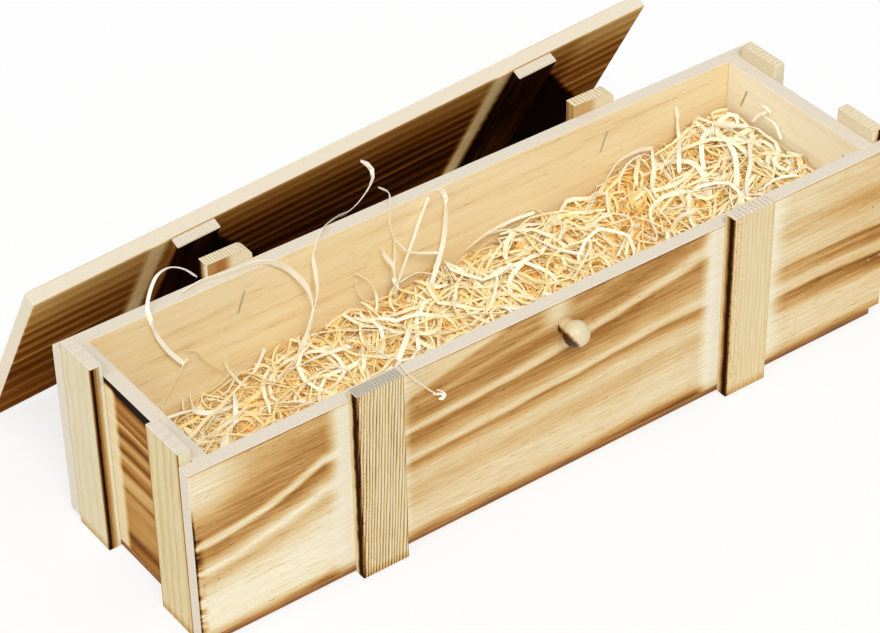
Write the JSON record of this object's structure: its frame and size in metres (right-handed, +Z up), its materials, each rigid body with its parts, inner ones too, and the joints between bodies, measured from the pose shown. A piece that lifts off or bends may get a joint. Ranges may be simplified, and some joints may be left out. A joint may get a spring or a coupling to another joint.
{
  "type": "gift box",
  "caption": "Flamed pine wine box with upright battens, a small turned knob and a loose battened lid set down behind it, filled with wood wool.",
  "frame": {"origin": "centre of the box's underside, on the surface it stands on", "axes": "+X along the box's length towards the end where the filling is deep, +Y to the back where the lid stands, +Z up"},
  "size_m": [0.36, 0.2189, 0.095],
  "materials": {
    "flamed_boards": "flamed pine, matt, grain drawn out brown by the torch over a cream ground",
    "floor_panel": "thin plywood, scorched at the edges",
    "battens": "sawn pine, brushed grain, flamed at the edges",
    "knob": "turned wood, smooth, lightly scorched on one side",
    "fasteners": "bare wire, dulled",
    "wood_wool": "thin curled shavings, pale and matt",
    "lid_boards": "pine flamed dark brown on the outer face, pale at the edges",
    "lid_battens": "pine flamed almost black on the outer face, pale at the ends"
  },
  "bodies": {
    "box": {"front_wall": "flamed_boards", "back_wall": "flamed_boards", "left_end_wall": "flamed_boards", "right_end_wall": "flamed_boards", "floor_panel": "floor_panel", "front_left_batten": "battens", "front_right_batten": "battens", "back_left_batten": "battens", "back_right_batten": "battens", "left_front_corner_batten": "battens", "left_back_corner_batten": "battens", "right_front_corner_batten": "battens", "right_back_corner_batten": "battens", "front_knob": "knob", "wall_staples": "fasteners", "end_staples": "fasteners", "floor_staples": "fasteners", "corner_brads": "fasteners"},
    "wool": {"wood_wool": "wood_wool"},
    "lid": {"lid_upper_board": "lid_boards", "lid_lower_board": "lid_boards", "lid_left_batten": "lid_battens", "lid_right_batten": "lid_battens", "lid_staples": "fasteners"}
  },
  "joints": [
    {"name": "lid_lift", "type": "slide", "parent": "box", "child": "lid", "axis": [0, 0, 1], "range_m": [0, 0.15]},
    {"name": "wool_lift", "type": "slide", "parent": "box", "child": "wool", "axis": [0, 0, 1], "range_m": [0, 0.12]}
  ]
}
